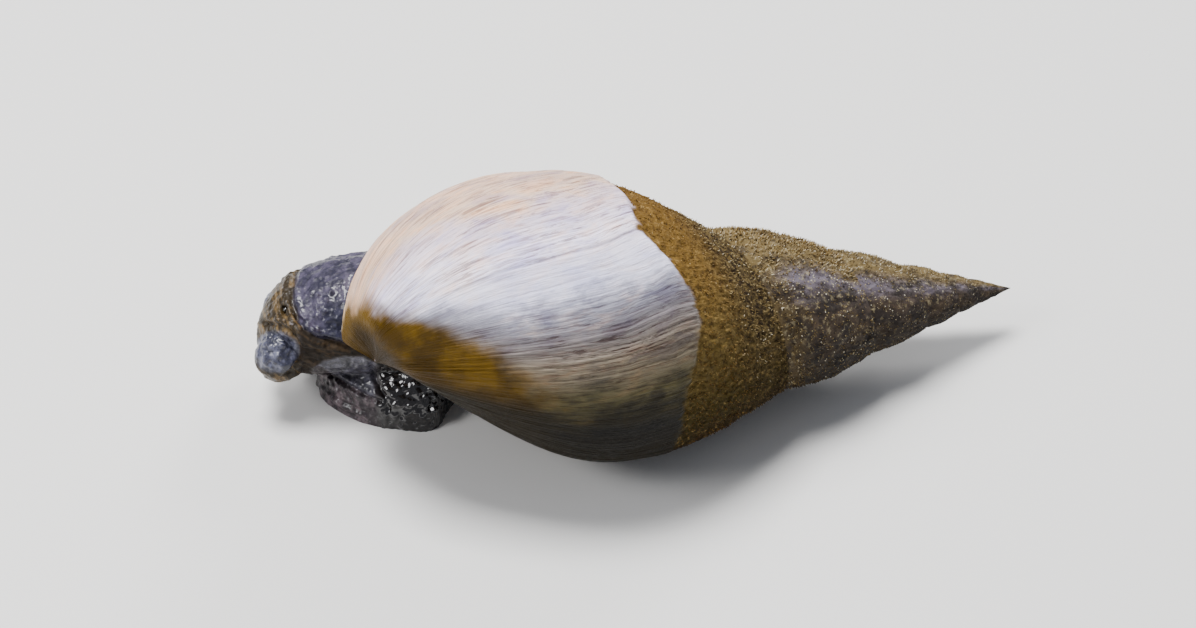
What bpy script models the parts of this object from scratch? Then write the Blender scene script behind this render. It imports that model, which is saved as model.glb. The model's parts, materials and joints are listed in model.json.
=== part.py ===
"""A life-size great pond snail: a tall spired shell that turns to the right, carried over a
soft body with its head bent down to the left. Metres, +Z up, the head towards -X."""
import math

import bmesh
import bpy
from mathutils import Matrix, Vector

MM = 0.001
GAP = 0.3 * MM

# Shell, in millimetres along its own axis from the tip, and degrees of growth back from the lip
WHORL_RATIO = 1.6
LIP_SUTURE = 27.0
SUTURE_SLOPE = 0.285
BASE_END = 51.9
BASE_DIP = 1.6
BASE_DIP_RADIUS = 4.2
RADIAL_SCALE = 0.93
COVERED_FROM = 0.772
SUTURE_TURNS = 7
WIDEST_RADIUS = ((-420, 7.1), (-360, 7.98), (-244, 9.5), (-154, 11.5), (-64, 13.1), (0, 14.1), (40, 14.5))
WIDEST_PLACE = ((-420, 28.9), (-360, 30.3), (-244, 33.0), (-154, 35.6), (-64, 38.3), (0, 39.4), (40, 40.0))
BASE_FULLNESS = ((-420, 2.7), (-360, 2.6), (-244, 2.0), (-154, 0.95), (-64, 0.47), (0, 0.42), (40, 0.4))

# Where growth rested the shoulder turns from a plain slope to a fuller one
REST_LINE = (
    (-360, 0.72), (-190, 0.74), (-165, 0.65), (-148, 0.57), (-126, 0.61), (-110, 0.7), (-88, 0.63), (0, 0.58),
)
REST_WIDTH = 0.07
REST_START = -340.0
REST_FADE = 60.0
SHOULDER_FULLNESS = 2.3

# The spire's whorls bulge between their seams; the bulge fades out on the last whorl
WHORL_BULGE = 0.62
BULGE_END = -190.0
BULGE_FADE = 170.0

# The mouth: thickness of the lip and the inner lip, how far back the hollow goes, the spire's floor
LIP_WALL = 0.7
INNER_LIP = 0.25
RECESS_ANGLE = 26.0
FLOOR_DEPTH = 1.5

# Room kept free of the body round the outside of the lip: degrees of growth, depth and reach
COLLAR_SPAN = (-80.0, 4.0)
COLLAR_DEPTH = 0.35
COLLAR_REACH = 7.0

# How the shell is carried
LIP_ANGLE = 100.0
SHELL_YAW = 20.2
SHELL_PITCH = 8.5
CARRY_PLACE = 32.0
CARRY_X = 1.45
CARRY_HEIGHT = 8.54

# Foot: place along the body, middle, half width and height, all in millimetres
FOOT_SECTIONS = (
    (-21.0, 5.5, 0.9, 0.9),
    (-20.5, 5.4, 2.5, 1.8),
    (-19.4, 5.3, 3.7, 2.8),
    (-17.5, 5.0, 4.8, 3.8),
    (-15.5, 4.7, 5.2, 4.4),
    (-12.9, 4.5, 5.3, 4.7),
    (-12.0, 4.7, 5.1, 4.7),
    (-11.4, 5.6, 4.2, 4.6),
    (-10.6, 6.2, 3.7, 4.4),
    (-6.0, 6.4, 3.8, 4.2),
    (0.0, 7.1, 3.9, 3.6),
    (6.0, 8.2, 3.4, 2.7),
    (11.0, 9.3, 2.2, 1.8),
    (15.0, 10.2, 1.1, 1.1),
    (16.6, 10.6, 0.4, 0.6),
)

# Neck and head: centre, half width and half height, in millimetres
HEAD_SECTIONS = (
    (-9.0, 4.8, 6.6, 3.2, 3.2),
    (-13.0, 4.7, 6.8, 4.1, 3.9),
    (-17.0, 4.6, 6.7, 4.35, 4.15),
    (-19.6, 4.6, 6.4, 4.25, 4.0),
    (-21.1, 4.5, 6.15, 3.95, 3.7),
    (-21.9, 4.45, 5.95, 3.7, 3.5),
    (-22.6, 4.45, 5.7, 3.65, 3.45),
    (-23.5, 4.4, 5.3, 3.3, 3.1),
    (-24.3, 4.3, 5.0, 2.4, 2.3),
    (-24.9, 4.2, 4.8, 1.1, 1.1),
)

HEAD_MIDDLE = 4.5
NECK_CUT = -21.65
FOOT_CUTS = (-10.9, 1.5)

# Left lobe beside the mouth and left tentacle, which lies folded back along the head: centre,
# half width and half thickness, in millimetres; those on the right hang a little lower
MOUTH_LOBE = (
    (-23.5, 1.85, 3.5, 0.5, 0.4),
    (-23.5, 1.6, 3.9, 1.15, 0.9),
    (-23.35, 1.35, 4.7, 1.6, 1.3),
    (-23.2, 1.3, 5.6, 1.6, 1.3),
    (-23.1, 1.5, 6.4, 1.15, 0.9),
    (-23.05, 1.75, 6.85, 0.5, 0.4),
)
TENTACLE = (
    (-23.0, 2.25, 7.35, 0.4, 0.3),
    (-22.8, 1.85, 7.65, 0.8, 0.45),
    (-22.2, 1.35, 7.8, 0.85, 0.5),
    (-21.4, 0.95, 7.7, 0.75, 0.45),
    (-20.5, 0.7, 7.5, 0.55, 0.4),
    (-19.95, 0.65, 7.4, 0.35, 0.28),
)
EYE = (-22.72, 2.7, 8.52, 0.25, 0.25)
RIGHT_DROP = 0.6

# Stalk of the body that rises into the shell's mouth: height, middle, half length and half width
STALK_SECTIONS = (
    (1.5, -6.3, 5.3, 6.9, 2.6),
    (4.5, -6.6, 5.2, 8.4, 3.3),
    (7.5, -6.8, 5.4, 9.5, 4.0),
    (10.5, -7.1, 5.7, 9.7, 4.2),
    (14.0, -7.5, 6.0, 8.4, 3.8),
)


def clear_scene():
    for old in list(bpy.data.objects):
        bpy.data.objects.remove(old, do_unlink=True)


def make_material(name, colour, roughness):
    material = bpy.data.materials.new(name)
    material.use_nodes = True
    shader = material.node_tree.nodes["Principled BSDF"]
    shader.inputs["Base Color"].default_value = (*colour, 1.0)
    shader.inputs["Roughness"].default_value = roughness
    shader.inputs["Metallic"].default_value = 0.0
    return material


def spline(knots, place):
    """Value of a smooth curve through a few named (place, value) pairs."""
    last = len(knots) - 2
    index = 0
    while index < last and place > knots[index + 1][0]:
        index += 1
    x0, y0 = knots[index]
    x1, y1 = knots[index + 1]
    before = knots[max(index - 1, 0)]
    after = knots[min(index + 2, len(knots) - 1)]
    slope0 = (y1 - before[1]) / (x1 - before[0])
    slope1 = (after[1] - y0) / (after[0] - x0)
    span = x1 - x0
    u = min(max((place - x0) / span, 0.0), 1.0)
    return (y0 * (1 + 2 * u) * (1 - u) ** 2 + y1 * u * u * (3 - 2 * u)
            + span * slope0 * u * (1 - u) ** 2 - span * slope1 * u * u * (1 - u))


def ease(value):
    value = min(max(value, 0.0), 1.0)
    return value * value * (3 - 2 * value)


def suture(growth):
    """Place and radius of the seam where a whorl begins."""
    place = LIP_SUTURE * WHORL_RATIO ** (growth / 360.0)
    return place, SUTURE_SLOPE * place


def shoulder_point(growth, y):
    """A point on the whorl between its seam, y = 0, and its widest place, y = 1."""
    place, radius = suture(growth)
    widest = spline(WIDEST_PLACE, growth)
    reach = spline(WIDEST_RADIUS, growth) - radius
    plain = math.sin(math.pi * y / 2)
    full = 1 - (1 - y) ** SHOULDER_FULLNESS
    rest = ease((y - spline(REST_LINE, growth)) / REST_WIDTH + 0.5) * ease((growth - REST_START) / REST_FADE)
    bulge = WHORL_BULGE * math.sin(math.pi * min(y / COVERED_FROM, 1.0))
    bulge *= ease((BULGE_END - growth) / BULGE_FADE)
    return place + (widest - place) * y, radius + reach * (plain + (full - plain) * rest) + bulge


def base_point(growth, u):
    """A point on the last whorl between its widest place, u = 0, and the shell's base, u = 1."""
    widest = spline(WIDEST_PLACE, growth)
    x = math.sin(math.pi * u / 2)
    radius = spline(WIDEST_RADIUS, growth) * max(1 - x * x, 0.0) ** spline(BASE_FULLNESS, growth)
    dip = BASE_DIP * ease(1 - radius / BASE_DIP_RADIUS)
    return widest + (BASE_END - widest) * x - dip * x, radius


def profile(growth, s):
    """Place and radius on a whorl: s runs 0 to 0.5 where the next whorl leaves it bare, to 1."""
    scale = 1.0
    if growth < -360:
        scale = WHORL_RATIO ** ((growth + 360) / 360.0)
        growth = -360
    if s <= 0.5:
        place, radius = shoulder_point(growth, COVERED_FROM * s / 0.5)
    elif s <= 0.6:
        place, radius = shoulder_point(growth, COVERED_FROM + (1 - COVERED_FROM) * (s - 0.5) / 0.1)
    else:
        place, radius = base_point(growth, (s - 0.6) / 0.4)
    return place * scale, radius * scale * RADIAL_SCALE


def shell_axes():
    """Unit vectors from tip to base, upwards and to the animal's right, and the tip's position."""
    yaw = math.radians(SHELL_YAW)
    pitch = math.radians(SHELL_PITCH)
    to_base = Vector((-math.cos(yaw) * math.cos(pitch), -math.sin(yaw) * math.cos(pitch), math.sin(pitch)))
    right = to_base.cross(Vector((0, 0, 1))).normalized()
    up = right.cross(to_base).normalized()
    tip = Vector((CARRY_X, 0, CARRY_HEIGHT)) - to_base * CARRY_PLACE
    return to_base, up, right, tip


TO_BASE, SHELL_UP, SHELL_RIGHT, TIP = shell_axes()


def shell_point(growth, place, radius, shift=0.0):
    """World position in metres, moved along the direction of growth by shift millimetres."""
    angle = math.radians(growth + LIP_ANGLE)
    outward = SHELL_UP * math.cos(angle) + SHELL_RIGHT * math.sin(angle)
    forward = SHELL_RIGHT * math.cos(angle) - SHELL_UP * math.sin(angle)
    return (TIP + TO_BASE * place + outward * radius + forward * shift) * MM


def finish_mesh(name, bm, material):
    """Close, orient and store a mesh as a node of its own."""
    bmesh.ops.remove_doubles(bm, verts=bm.verts, dist=0.004 * MM)
    bmesh.ops.triangulate(bm, faces=[face for face in bm.faces if len(face.verts) > 4])
    bmesh.ops.recalc_face_normals(bm, faces=bm.faces)
    mesh = bpy.data.meshes.new(name)
    bm.to_mesh(mesh)
    bm.free()
    mesh.materials.append(material)
    mesh.shade_smooth()
    mesh.set_sharp_from_angle(angle=math.radians(40))
    node = bpy.data.objects.new(name, mesh)
    bpy.context.scene.collection.objects.link(node)
    return node


def loft(name, rings, material):
    """A closed body through rings of points, with both end rings filled."""
    bm = bmesh.new()
    rows = [[bm.verts.new(point) for point in ring] for ring in rings]
    count = len(rows[0])
    for lower, upper in zip(rows, rows[1:]):
        for i in range(count):
            j = (i + 1) % count
            bm.faces.new((lower[i], lower[j], upper[j], upper[i]))
    bm.faces.new(rows[0][::-1])
    bm.faces.new(rows[-1])
    return finish_mesh(name, bm, material)


def spire_whorl(name, first, columns, rows, core, material):
    """One turn of the spire between its two seams, with the walls that it shares inside."""
    rings = []
    half_gap = GAP / MM / 2
    for j in range(columns + 1):
        growth = first + 360.0 * j / columns
        start = suture(growth)[0] + half_gap
        end = suture(growth + 360)[0] - half_gap
        margin = 0.5 * half_gap / (end - start + 2 * half_gap)
        shift = half_gap * ((j == 0) - (j == columns))
        outer = [profile(growth, margin + (0.5 - 2 * margin) * i / rows) for i in range(rows + 1)]
        section = [(start, core)] + outer + [(end, core)]
        rings.append([shell_point(growth, place, radius, shift) for place, radius in section])
    return loft(name, rings, material)


def spire_tip(name, last, columns, rows, core, material):
    """The small first whorls as one body, closed by a spiral wall below."""
    bm = bmesh.new()
    half_gap = GAP / MM / 2
    total = columns * (SUTURE_TURNS - 3)
    first = last - 360.0 * (SUTURE_TURNS - 3)
    grid = []
    for j in range(total + 1):
        growth = first + 360.0 * j / columns
        column = []
        for i in range(rows + 1):
            if i == 0 and j >= columns:
                column.append(grid[j - columns][rows])
                continue
            place, radius = profile(growth, 0.5 * i / rows)
            if i == rows and j >= total - columns:
                place -= half_gap
            column.append(bm.verts.new(shell_point(growth, place, radius, -half_gap * (j == total))))
        grid.append(column)
    for j in range(total):
        for i in range(rows):
            bm.faces.new((grid[j][i], grid[j + 1][i], grid[j + 1][i + 1], grid[j][i + 1]))
    point = bm.verts.new(shell_point(0, 0.1, 0.0))
    for j in range(columns):
        bm.faces.new((point, grid[j + 1][0], grid[j][0]))
    bm.faces.new([point] + [grid[0][i] for i in range(rows + 1)])
    wall = []
    for j in range(columns + 1):
        growth = last - 360.0 + 360.0 * j / columns
        wall.append(bm.verts.new(shell_point(growth, suture(growth + 360)[0] - half_gap, core,
                                             -half_gap * (j == columns))))
    middle = bm.verts.new(shell_point(0, suture(last)[0] - half_gap, 0.0))
    edge = grid[total - columns:]
    for j in range(columns):
        bm.faces.new((edge[j][rows], edge[j + 1][rows], wall[j + 1], wall[j]))
        bm.faces.new((wall[j], wall[j + 1], middle))
    bm.faces.new([grid[total][i] for i in range(rows + 1)] + [wall[columns], middle, wall[0]])
    return finish_mesh(name, bm, material)


def between(first, second, share):
    return (first[0] + (second[0] - first[0]) * share, first[1] + (second[1] - first[1]) * share)


def inset(point, towards, distance):
    """A point moved towards another, never past a third of the way."""
    length = math.hypot(towards[0] - point[0], towards[1] - point[1])
    return between(point, towards, min(distance / length, 0.33))


def mouth_loop(bm, growth, upper_rows, lower_rows):
    """The edge of the shell's hollow mouth at one depth: inside the lip, then the inner lip."""
    rows = upper_rows + lower_rows
    outer = [profile(growth, row_share(i, upper_rows, lower_rows)) for i in range(rows + 1)]
    inner = [profile(-360, row_share(upper_rows + k, upper_rows, lower_rows)) for k in range(lower_rows + 1)]
    loop = []
    for i in range(1, rows):
        k = lower_rows * i / rows
        towards = between(inner[int(k)], inner[min(int(k) + 1, lower_rows)], k - int(k))
        loop.append(shell_point(growth, *inset(outer[i], towards, LIP_WALL)))
    for k in range(lower_rows - 1, 0, -1):
        i = rows * k / lower_rows
        towards = between(outer[int(i)], outer[min(int(i) + 1, rows)], i - int(i))
        loop.append(shell_point(growth, *inset(inner[k], towards, INNER_LIP)))
    return [bm.verts.new(point) for point in loop]


def row_share(i, upper_rows, lower_rows):
    """Where row i lies on a whorl's profile."""
    if i <= upper_rows:
        return 0.5 * i / upper_rows
    return 0.5 + 0.5 * (i - upper_rows) / lower_rows


def last_whorl(name, columns, upper_rows, lower_rows, core, material):
    """The last whorl with its hollow mouth, its thin lip and the wall towards the spire."""
    bm = bmesh.new()
    half_gap = GAP / MM / 2
    rows = upper_rows + lower_rows
    base = bm.verts.new(shell_point(0, BASE_END - BASE_DIP, 0.0))
    grid = []
    inner = []
    ring = []
    floor_place = suture(0)[0] + FLOOR_DEPTH
    for j in range(columns + 1):
        growth = -360.0 + 360.0 * j / columns
        start = suture(growth)[0] + half_gap
        column = []
        for i in range(rows):
            place, radius = profile(growth, row_share(i, upper_rows, lower_rows))
            if i == 0:
                place = start
            shift = half_gap if j == 0 and i < upper_rows else 0.0
            column.append(bm.verts.new(shell_point(growth, place, radius, shift)))
        grid.append(column + [base])
        inner.append(bm.verts.new(shell_point(growth, start, core, half_gap if j == 0 else 0.0)))
        ring.append(ring[0] if j == columns else bm.verts.new(shell_point(growth, floor_place, core)))
    bm.verts.remove(grid[0][upper_rows])
    grid[0][upper_rows] = grid[columns][0]
    for j in range(columns):
        for i in range(rows):
            corners = [grid[j][i], grid[j + 1][i], grid[j + 1][i + 1], grid[j][i + 1]]
            bm.faces.new(corners if i < rows - 1 else corners[:3])
        bm.faces.new((grid[j][0], inner[j], inner[j + 1], grid[j + 1][0]))
    middle = bm.verts.new(shell_point(0, floor_place, 0.0))
    chain = [inner[0]]
    for i in range(1, upper_rows):
        place = profile(-360, row_share(i, upper_rows, lower_rows))[0]
        chain.append(bm.verts.new(shell_point(-360, place, core, half_gap)))
    chain.append(inner[columns])
    for i in range(upper_rows):
        bm.faces.new((chain[i], grid[0][i], grid[0][i + 1], chain[i + 1]))
    bm.faces.new(chain + [ring[0], ring[1], inner[1]])
    for j in range(columns):
        if j:
            bm.faces.new((inner[j], ring[j], ring[j + 1], inner[j + 1]))
        bm.faces.new((ring[j], middle, ring[j + 1]))
    add_mouth(bm, grid, upper_rows, lower_rows)
    for vert in bm.verts:
        vert.co.z = max(vert.co.z, 0.0)
    return finish_mesh(name, bm, material)


def add_mouth(bm, grid, upper_rows, lower_rows):
    """The rim between lip and hollow, the hollow's wall and its far end."""
    rows = upper_rows + lower_rows
    outer = grid[-1]
    parietal = grid[0][upper_rows:]
    depths = 3
    loops = [mouth_loop(bm, -RECESS_ANGLE * d / depths, upper_rows, lower_rows) for d in range(depths + 1)]
    rim = loops[0]
    lip = rim[:rows - 1]
    columella = rim[rows - 1:][::-1]
    for i in range(1, rows - 1):
        bm.faces.new((outer[i], lip[i - 1], lip[i], outer[i + 1]))
    for k in range(1, lower_rows - 1):
        bm.faces.new((parietal[k], parietal[k + 1], columella[k], columella[k - 1]))
    corner = outer[0]
    base = outer[rows]
    bm.faces.new((corner, lip[0], outer[1]))
    bm.faces.new((corner, columella[0], lip[0]))
    bm.faces.new((corner, parietal[1], columella[0]))
    bm.faces.new((base, outer[rows - 1], lip[-1]))
    bm.faces.new((base, lip[-1], columella[-1]))
    bm.faces.new((base, columella[-1], parietal[lower_rows - 1]))
    count = len(rim)
    for near, far in zip(loops, loops[1:]):
        for i in range(count):
            j = (i + 1) % count
            bm.faces.new((near[i], far[i], far[j], near[j]))
    bm.faces.new(loops[-1])


def build_shell(material):
    return [
        spire_tip("shell_tip", last=-1080, columns=14, rows=3, core=0.5, material=material),
        spire_whorl("shell_third_whorl", first=-1080, columns=18, rows=4, core=0.7, material=material),
        spire_whorl("shell_second_whorl", first=-720, columns=24, rows=6, core=0.9, material=material),
        last_whorl("shell_last_whorl", columns=40, upper_rows=9, lower_rows=13, core=1.3, material=material),
    ]


def keep_largest(bm):
    """Drop every loose scrap but the surface with the most room inside it."""
    seen = set()
    islands = []
    for seed in bm.verts:
        if seed in seen:
            continue
        island = []
        stack = [seed]
        seen.add(seed)
        while stack:
            vert = stack.pop()
            island.append(vert)
            for edge in vert.link_edges:
                other = edge.other_vert(vert)
                if other not in seen:
                    seen.add(other)
                    stack.append(other)
        islands.append(island)
    islands.sort(key=box_volume)
    for island in islands[:-1]:
        bmesh.ops.delete(bm, geom=island, context="VERTS")


def box_volume(verts):
    volume = 1.0
    for axis in range(3):
        values = [vert.co[axis] for vert in verts]
        volume *= max(values) - min(values) + 1e-9
    return volume


def combine(node, others, operation):
    """Apply one Boolean of other objects to a node and keep its largest closed surface."""
    group = bpy.data.collections.new("cutters")
    for other in others:
        group.objects.link(other)
    boolean = node.modifiers.new("Boolean", "BOOLEAN")
    boolean.operation = operation
    boolean.operand_type = "COLLECTION"
    boolean.collection = group
    boolean.solver = "EXACT"
    bpy.context.view_layer.update()
    evaluated = node.evaluated_get(bpy.context.evaluated_depsgraph_get())
    bm = bmesh.new()
    bm.from_mesh(evaluated.to_mesh())
    evaluated.to_mesh_clear()
    node.modifiers.clear()
    bmesh.ops.remove_doubles(bm, verts=bm.verts, dist=0.01 * MM)
    bmesh.ops.dissolve_degenerate(bm, edges=bm.edges, dist=0.01 * MM)
    bmesh.ops.triangulate(bm, faces=bm.faces)
    keep_largest(bm)
    bm.to_mesh(node.data)
    bm.free()
    node.data.shade_smooth()
    node.data.set_sharp_from_angle(angle=math.radians(40))
    bpy.data.collections.remove(group)
    for other in others:
        bpy.data.objects.remove(other, do_unlink=True)
    return node


def swollen(node, distance=GAP):
    """A copy of a node that stands out from it on every side."""
    copy = node.copy()
    copy.data = node.data.copy()
    bpy.context.scene.collection.objects.link(copy)
    bm = bmesh.new()
    bm.from_mesh(copy.data)
    bm.normal_update()
    moves = [vert.normal * distance * min(vert.calc_shell_factor(), 1.6) for vert in bm.verts]
    for vert, move in zip(bm.verts, moves):
        vert.co += move
    bm.to_mesh(copy.data)
    bm.free()
    return copy


def box(name, low, high):
    """A cutter between two corners given in millimetres."""
    bm = bmesh.new()
    bmesh.ops.create_cube(bm, size=1.0)
    size = [b - a for a, b in zip(low, high)]
    middle = [(a + b) / 2 for a, b in zip(low, high)]
    for vert in bm.verts:
        vert.co = Vector([(middle[k] + vert.co[k] * size[k]) * MM for k in range(3)])
    mesh = bpy.data.meshes.new(name)
    bm.to_mesh(mesh)
    bm.free()
    cutter = bpy.data.objects.new(name, mesh)
    cutter.hide_render = True
    cutter.display_type = "WIRE"
    bpy.context.scene.collection.objects.link(cutter)
    return cutter


def lip_collar(columns, rows, material):
    """A cutter round the lip and the shell's outside behind it."""
    rings = []
    for j in range(columns + 1):
        growth = COLLAR_SPAN[0] + (COLLAR_SPAN[1] - COLLAR_SPAN[0]) * j / columns
        outer = [profile(growth, 0.01 + 0.95 * i / rows) for i in range(rows + 1)]
        section = [(place, radius - COLLAR_DEPTH) for place, radius in outer]
        section += [(place, radius + COLLAR_REACH) for place, radius in outer[::-1]]
        rings.append([shell_point(growth, place, radius) for place, radius in section])
    collar = loft("lip_collar", rings, material)
    collar.hide_render = True
    collar.display_type = "WIRE"
    return collar


def slice_of(node, name, start, end):
    """A copy of a body between two places along X, half a gap short at each cut."""
    copy = node.copy()
    copy.name = name
    copy.data = node.data.copy()
    copy.data.name = name
    bpy.context.scene.collection.objects.link(copy)
    half_gap = GAP / MM / 2
    keep = box("slice", (start + half_gap, -60, -5), (end - half_gap, 60, 60))
    return combine(copy, [keep], "INTERSECT")


def foot_ring(place, middle, half_width, height, count=15):
    """A slice of the foot: flat below, domed above."""
    ring = []
    for i in range(count):
        angle = math.pi * i / (count - 1)
        rise = height * math.sin(angle) ** 0.8 if 0 < i < count - 1 else 0.0
        ring.append(Vector((place, middle + half_width * math.cos(angle), rise)) * MM)
    return ring


def oval_ring(centre, across, upward, half_width, half_height, count=20):
    ring = []
    for i in range(count):
        angle = 2 * math.pi * i / count
        offset = across * half_width * math.cos(angle) + upward * half_height * math.sin(angle)
        ring.append((centre + offset) * MM)
    return ring


def refine(sections, steps):
    """Smooth in-between sections, measured along their first value."""
    rows = []
    for index in range(len(sections) - 1):
        for step in range(steps):
            place = sections[index][0] + (sections[index + 1][0] - sections[index][0]) * step / steps
            knots = [[(row[0], row[k]) for row in sections] for k in range(1, len(sections[0]))]
            rows.append((place, *[spline(track, place) for track in knots]))
    rows.append(sections[-1])
    return rows


def build_foot(material):
    rings = [foot_ring(*row) for row in refine(FOOT_SECTIONS, 2)]
    return loft("foot", rings, material)


def build_head(material):
    rings = []
    for place, middle, height, half_width, half_height in refine(tuple(HEAD_SECTIONS[::-1]), 2):
        centre = Vector((place, middle, height))
        rings.append(oval_ring(centre, Vector((0, 1, 0)), Vector((0, 0, 1)), half_width, half_height))
    return loft("neck_and_head", rings, material)


def build_stalk(material):
    yaw = math.radians(SHELL_YAW)
    along = Vector((math.cos(yaw), math.sin(yaw), 0))
    across = Vector((-math.sin(yaw), math.cos(yaw), 0))
    rings = []
    for height, place, middle, half_length, half_width in refine(STALK_SECTIONS, 2):
        centre = Vector((place, middle, height))
        rings.append(oval_ring(centre, along, across, half_length, half_width, 24))
    return loft("mantle", rings, material)


def feeler(name, path, material, count=12):
    """A lobe or tentacle through ovals: centre, half width and half thickness in millimetres."""
    rings = []
    for index, (x, y, z, half_width, half_thickness) in enumerate(path):
        centre = Vector((x, y, z))
        after = Vector(path[min(index + 1, len(path) - 1)][:3])
        before = Vector(path[max(index - 1, 0)][:3])
        along = (after - before).normalized()
        outward = Vector((0, -1 if y < HEAD_MIDDLE else 1, 0))
        across = along.cross(outward).normalized()
        rings.append(oval_ring(centre, across, across.cross(along), half_width, half_thickness, count))
    return loft(name, rings, material)


def mirrored(path):
    """The same path on the animal's other side, a little lower."""
    return [(x, 2 * HEAD_MIDDLE - y, z - RIGHT_DROP, width, thickness) for x, y, z, width, thickness in path]


def build_flesh(shell_nodes, skin, sole_skin, eye_material):
    foot = build_foot(sole_skin)
    combine(foot, [swollen(node) for node in shell_nodes], "DIFFERENCE")
    head = build_head(skin)
    combine(head, [swollen(foot), swollen(shell_nodes[-1])], "DIFFERENCE")
    stalk = build_stalk(skin)
    collar = lip_collar(columns=9, rows=14, material=skin)
    combine(stalk, [swollen(node) for node in [foot, head] + shell_nodes] + [collar], "DIFFERENCE")
    seated = []
    for side, flip in (("left", list), ("right", mirrored)):
        seated.append(feeler("mouth_lobe_" + side, flip(MOUTH_LOBE), skin, 14))
        seated.append(feeler("tentacle_" + side, flip(TENTACLE), skin))
        seated.append(build_eye("eye_" + side, flip([EYE])[0], eye_material))
    combine(head, [swollen(node) for node in seated], "DIFFERENCE")
    slice_of(head, "head", -40.0, NECK_CUT)
    slice_of(head, "neck", NECK_CUT, 10.0)
    bpy.data.objects.remove(head, do_unlink=True)
    slice_of(foot, "foot_front", -40.0, FOOT_CUTS[0])
    slice_of(foot, "foot_middle", FOOT_CUTS[0], FOOT_CUTS[1])
    slice_of(foot, "foot_tail", FOOT_CUTS[1], 40.0)
    bpy.data.objects.remove(foot, do_unlink=True)


def build_eye(name, spot, material):
    bm = bmesh.new()
    bmesh.ops.create_icosphere(bm, subdivisions=2, radius=spot[3] * MM)
    bmesh.ops.translate(bm, verts=bm.verts, vec=Vector(spot[:3]) * MM)
    return finish_mesh(name, bm, material)


def centre_on_floor():
    """Put the middle of the model's box over the origin and its sole on the floor."""
    corners = [vert.co for node in bpy.data.objects for vert in node.data.vertices]
    low = [min(corner[axis] for corner in corners) for axis in range(3)]
    high = [max(corner[axis] for corner in corners) for axis in range(3)]
    move = Matrix.Translation((-(low[0] + high[0]) / 2, -(low[1] + high[1]) / 2, -low[2]))
    for node in bpy.data.objects:
        node.data.transform(move)


def main():
    clear_scene()
    shell = make_material("shell", (0.62, 0.5, 0.42), 0.35)
    skin = make_material("skin", (0.2, 0.17, 0.16), 0.4)
    sole_skin = make_material("sole_skin", (0.16, 0.15, 0.17), 0.4)
    eye_material = make_material("eye", (0.02, 0.02, 0.02), 0.15)
    shell_nodes = build_shell(shell)
    build_flesh(shell_nodes, skin, sole_skin, eye_material)
    centre_on_floor()


main()
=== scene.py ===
import json
import math

import bmesh
import bpy
import numpy as np
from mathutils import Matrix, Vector

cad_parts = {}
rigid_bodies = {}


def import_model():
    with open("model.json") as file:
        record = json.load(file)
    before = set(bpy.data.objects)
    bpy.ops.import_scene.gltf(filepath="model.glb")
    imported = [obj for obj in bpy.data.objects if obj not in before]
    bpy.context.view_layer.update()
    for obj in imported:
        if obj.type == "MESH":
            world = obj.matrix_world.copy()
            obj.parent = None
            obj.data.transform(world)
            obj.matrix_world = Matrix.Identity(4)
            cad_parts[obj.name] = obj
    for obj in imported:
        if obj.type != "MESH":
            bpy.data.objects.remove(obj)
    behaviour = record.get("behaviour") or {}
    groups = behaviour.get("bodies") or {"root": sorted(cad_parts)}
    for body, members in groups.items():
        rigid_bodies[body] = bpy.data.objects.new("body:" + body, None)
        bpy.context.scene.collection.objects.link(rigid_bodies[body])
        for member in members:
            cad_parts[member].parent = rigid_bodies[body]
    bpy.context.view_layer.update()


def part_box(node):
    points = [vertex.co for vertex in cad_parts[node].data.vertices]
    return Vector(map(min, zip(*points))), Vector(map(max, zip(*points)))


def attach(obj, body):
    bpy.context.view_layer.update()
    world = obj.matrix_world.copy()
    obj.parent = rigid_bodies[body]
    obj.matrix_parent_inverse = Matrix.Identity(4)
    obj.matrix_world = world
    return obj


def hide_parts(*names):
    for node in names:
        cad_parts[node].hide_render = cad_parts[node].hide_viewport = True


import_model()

mm = 0.001


# small tools
def ease(value):
    value = np.clip(value, 0.0, 1.0)
    return value * value * (3 - 2 * value)


def spline(knots, place):  # smooth curve through (place, value) pairs
    xs, ys = zip(*knots)
    index = int(min(max(np.searchsorted(xs, place) - 1, 0), len(xs) - 2))
    x0, x1, y0, y1 = xs[index], xs[index + 1], ys[index], ys[index + 1]
    before, after = max(index - 1, 0), min(index + 2, len(xs) - 1)
    slope0 = (y1 - ys[before]) / (x1 - xs[before])
    slope1 = (ys[after] - y0) / (xs[after] - x0)
    span = x1 - x0
    u = min(max((place - x0) / span, 0.0), 1.0)
    return (y0 * (1 + 2 * u) * (1 - u) ** 2 + y1 * u * u * (3 - 2 * u)
            + span * slope0 * u * (1 - u) ** 2 - span * slope1 * u * u * (1 - u))


def latticeNumber(i, j, k, seed):  # a fixed random number for each lattice point, 0 to 1
    value = np.sin(i * 127.1 + j * 311.7 + k * 74.7 + seed * 53.3) * 43758.5453
    return value - np.floor(value)


def cloud(x, y, z=0.0, seed=1):  # smooth noise, -1 to 1
    x, y, z = np.broadcast_arrays(np.asarray(x, float), np.asarray(y, float), np.asarray(z, float))
    i, j, k = np.floor(x), np.floor(y), np.floor(z)
    u, v, w = ease(x - i), ease(y - j), ease(z - k)
    total = 0.0
    for a, shareA in ((0, 1 - u), (1, u)):
        for b, shareB in ((0, 1 - v), (1, v)):
            for c, shareC in ((0, 1 - w), (1, w)):
                total = total + shareA * shareB * shareC * latticeNumber(i + a, j + b, k + c, seed)
    return total * 2 - 1


def layeredCloud(x, y, z=0.0, seed=1, layers=4, gain=0.5):
    total, weight = 0.0, 1.0
    for layer in range(layers):
        factor = 2.03 ** layer
        total = total + weight * cloud(x * factor, y * factor, np.asarray(z) * factor, seed + layer)
        weight *= gain
    return total


def unit(vectors):
    return vectors / np.maximum(np.linalg.norm(vectors, axis=1), 1e-12)[:, None]


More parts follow.
